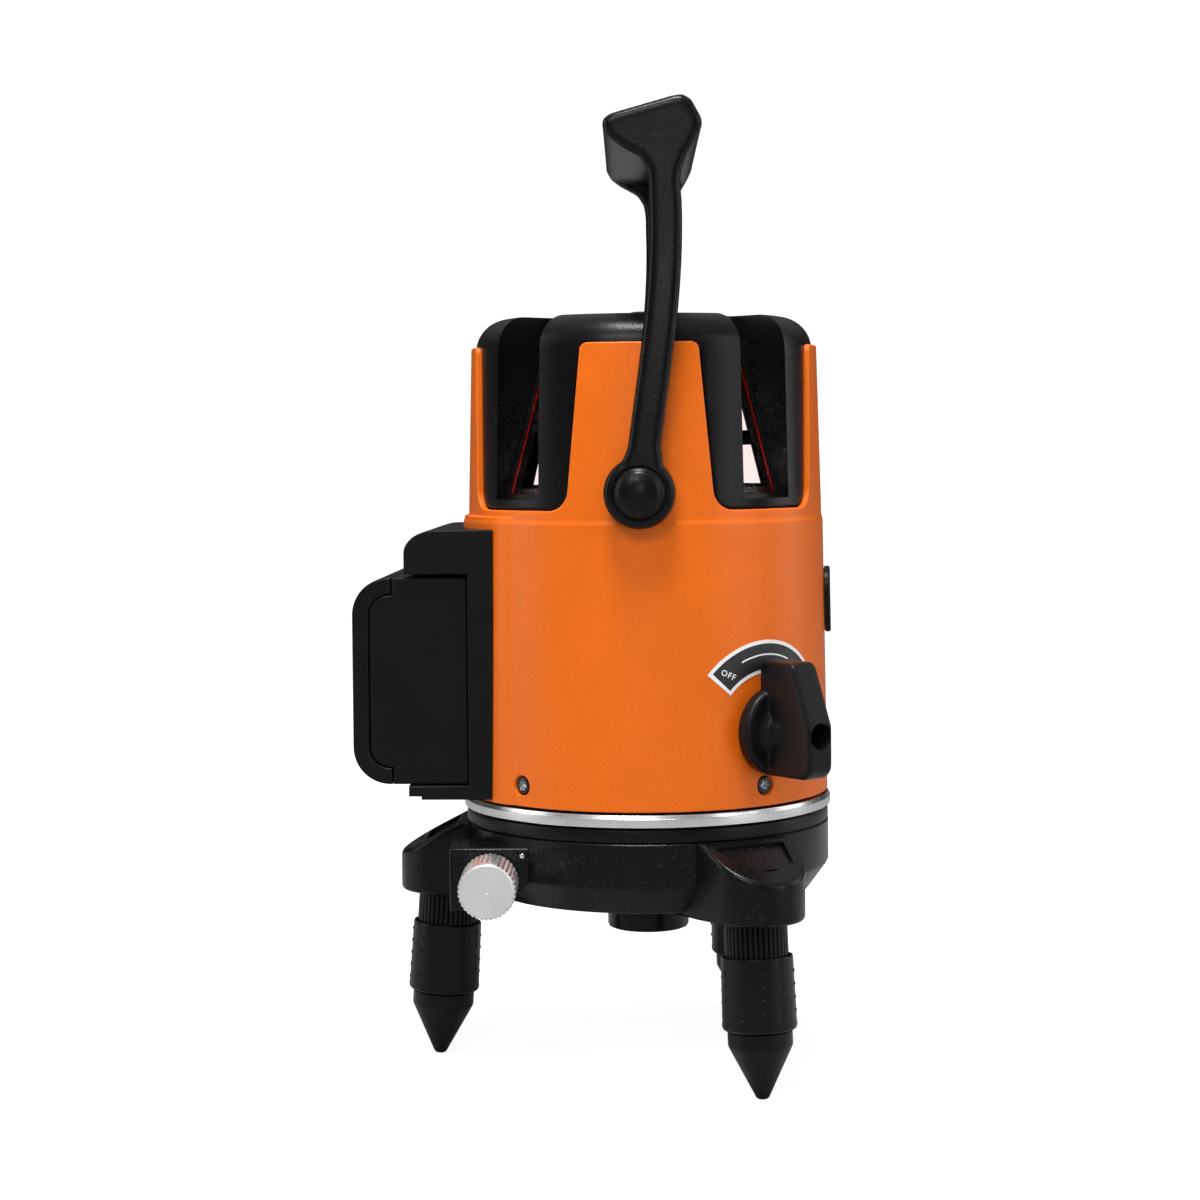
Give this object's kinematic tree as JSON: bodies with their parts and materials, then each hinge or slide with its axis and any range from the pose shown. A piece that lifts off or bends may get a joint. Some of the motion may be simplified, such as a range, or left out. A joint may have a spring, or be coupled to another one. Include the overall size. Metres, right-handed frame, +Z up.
{
  "type": "laser level",
  "caption": "Self-levelling multi-line laser with window slots, a carrying bail and a rear battery pack, turning on a levelling tripod base with a fine-adjustment knob.",
  "frame": {"origin": "on the ground under the middle of the object's box; the turning axis stands at x = 0.013, y = 0", "axes": "+Z up along the turning axis; the battery pack is at -X and the handle swings about Y"},
  "size_m": [0.1298, 0.1229, 0.2603],
  "materials": {
    "black_plastic": "moulded, fine texture",
    "black_rubber": "soft matt",
    "orange_plastic": "moulded, fine texture, slight sheen",
    "aluminium": "turned, bright",
    "steel": "turned",
    "dark_steel": "black oxide",
    "brass": "turned",
    "copper": "turned copper",
    "glass": "clear, red at the edges",
    "nylon": "natural nylon",
    "circuit_green": "solder mask",
    "vial_green": "clear tinted",
    "button_grey": "soft matt",
    "cell_wrap": "printed sleeve, plain"
  },
  "bodies": {
    "base": {"base_housing": "black_plastic", "tripod_bush": "brass", "base_cover": "black_plastic", "dial_ring": "aluminium", "bearing_ring": "nylon"},
    "fine_ring": {"worm_wheel": "nylon"},
    "fine_knob": {"worm_shaft": "steel", "fine_knob": "aluminium"},
    "instrument": {"turntable": "black_plastic", "housing": "orange_plastic", "crown": "black_plastic", "window_glass_1": "glass", "window_glass_2": "glass", "window_glass_3": "glass", "window_glass_4": "glass", "housing_screw_right": "dark_steel", "housing_screw_left": "dark_steel", "control_panel": "black_rubber", "bubble_vial": "vial_green", "pivot_screw_front": "black_plastic", "pivot_screw_rear": "black_plastic", "battery_bracket": "black_plastic", "gimbal_frame": "aluminium", "magnet_ring": "dark_steel", "circuit_board": "circuit_green", "charging_socket": "dark_steel"},
    "button_1": {"button_1": "button_grey"},
    "button_2": {"button_2": "button_grey"},
    "button_3": {"button_3": "button_grey"},
    "handle": {"handle": "black_plastic"},
    "battery": {"battery_case": "black_plastic", "battery_cover": "black_plastic", "cell_1": "cell_wrap", "cell_2": "cell_wrap", "cell_3": "cell_wrap", "contact_plate": "steel"},
    "latch": {"battery_latch": "black_plastic"},
    "lock": {"lock_knob": "black_plastic", "lock_shaft": "steel", "lock_screw": "dark_steel"},
    "plunger": {"lock_plunger": "brass"},
    "gimbal": {"gimbal_ring": "aluminium"},
    "pendulum": {"pendulum": "aluminium", "line_module_1": "brass", "line_module_2": "brass", "line_module_3": "brass", "line_module_4": "brass", "level_module": "dark_steel", "pendulum_weight": "brass", "damping_disc": "copper"},
    "flap": {"socket_flap": "black_rubber"},
    "leg_1_foot": {"foot_1": "black_plastic"},
    "leg_1_grip": {"stem_1": "black_plastic", "sleeve_1": "black_rubber"},
    "leg_2_foot": {"foot_2": "black_plastic"},
    "leg_2_grip": {"stem_2": "black_plastic", "sleeve_2": "black_rubber"},
    "leg_3_foot": {"foot_3": "black_plastic"},
    "leg_3_grip": {"stem_3": "black_plastic", "sleeve_3": "black_rubber"}
  },
  "joints": [
    {"name": "fine_ring_turn", "type": "hinge", "parent": "base", "child": "fine_ring", "pos_m": [0.013, 0, 0.0555], "axis": [0, 0, 1], "continuous": true},
    {"name": "fine_knob_turn", "type": "hinge", "parent": "base", "child": "fine_knob", "pos_m": [-0.02869, -0.00109, 0.0555], "axis": [0.0262, -0.9997, 0], "continuous": true},
    {"name": "body_turn", "type": "hinge", "parent": "fine_ring", "child": "instrument", "pos_m": [0.013, 0, 0.07], "axis": [0, 0, 1], "continuous": true},
    {"name": "handle_swing", "type": "hinge", "parent": "instrument", "child": "handle", "pos_m": [0.013, 0, 0.158], "axis": [0, 1, 0], "range_deg": [-90, 90]},
    {"name": "lock_turn", "type": "hinge", "parent": "instrument", "child": "lock", "pos_m": [0.0458, -0.03773, 0.0949], "axis": [0.6561, -0.7547, 0], "range_deg": [-45, 45]},
    {"name": "plunger_lift", "type": "slide", "parent": "instrument", "child": "plunger", "axis": [0, 0, 1], "range_m": [-0.0014, 0.0014]},
    {"name": "battery_slide", "type": "slide", "parent": "instrument", "child": "battery", "axis": [-1, 0, 0], "range_m": [0, 0.035]},
    {"name": "latch_press", "type": "slide", "parent": "instrument", "child": "latch", "axis": [0, 0, -1], "range_m": [0, 0.0015], "stiffness_N_per_m": 300, "springref_m": -0.0005},
    {"name": "gimbal_roll", "type": "hinge", "parent": "instrument", "child": "gimbal", "pos_m": [0.013, 0, 0.172], "axis": [0, 1, 0], "range_deg": [-3.5, 3.5]},
    {"name": "gimbal_pitch", "type": "hinge", "parent": "gimbal", "child": "pendulum", "pos_m": [0.013, 0, 0.172], "axis": [1, 0, 0], "range_deg": [-3.5, 3.5]},
    {"name": "flap_turn", "type": "hinge", "parent": "instrument", "child": "flap", "pos_m": [0.0642, 0, 0.1356], "axis": [0, -1, 0], "range_deg": [0, 100]},
    {"name": "button_1_press", "type": "slide", "parent": "instrument", "child": "button_1", "axis": [0, 0, -1], "range_m": [0, 0.0008], "stiffness_N_per_m": 500, "springref_m": -0.0003},
    {"name": "button_2_press", "type": "slide", "parent": "instrument", "child": "button_2", "axis": [0, 0, -1], "range_m": [0, 0.0008], "stiffness_N_per_m": 500, "springref_m": -0.0003},
    {"name": "button_3_press", "type": "slide", "parent": "instrument", "child": "button_3", "axis": [0, 0, -1], "range_m": [0, 0.0008], "stiffness_N_per_m": 500, "springref_m": -0.0003},
    {"name": "leg_1_height", "type": "slide", "parent": "base", "child": "leg_1_foot", "axis": [-0.0663, -0.0017, -0.9978], "range_m": [-0.005, 0.005]},
    {"name": "leg_1_turn", "type": "hinge", "parent": "leg_1_foot", "child": "leg_1_grip", "pos_m": [-0.04578, -0.00154, 0.00011], "axis": [-0.0663, -0.0017, -0.9978], "range_deg": [-1440, 1440]},
    {"name": "leg_2_height", "type": "slide", "parent": "base", "child": "leg_2_foot", "axis": [0.0346, -0.0565, -0.9978], "range_m": [-0.005, 0.005]},
    {"name": "leg_2_turn", "type": "hinge", "parent": "leg_2_foot", "child": "leg_2_grip", "pos_m": [0.04372, -0.05013, 0.00011], "axis": [0.0346, -0.0565, -0.9978], "range_deg": [-1440, 1440]},
    {"name": "leg_3_height", "type": "slide", "parent": "base", "child": "leg_3_foot", "axis": [0.0316, 0.0582, -0.9978], "range_m": [-0.005, 0.005]},
    {"name": "leg_3_turn", "type": "hinge", "parent": "leg_3_foot", "child": "leg_3_grip", "pos_m": [0.04106, 0.05167, 0.00011], "axis": [0.0316, 0.0582, -0.9978], "range_deg": [-1440, 1440]}
  ],
  "couplings": [
    {"joint": "fine_knob_turn", "follows": "fine_ring_turn", "ratio": -48},
    {"joint": "plunger_lift", "follows": "lock_turn", "m_per_rad": 0.00172},
    {"joint": "leg_1_height", "follows": "leg_1_turn", "m_per_rad": 0.00019894},
    {"joint": "leg_2_height", "follows": "leg_2_turn", "m_per_rad": 0.00019894},
    {"joint": "leg_3_height", "follows": "leg_3_turn", "m_per_rad": 0.00019894}
  ]
}
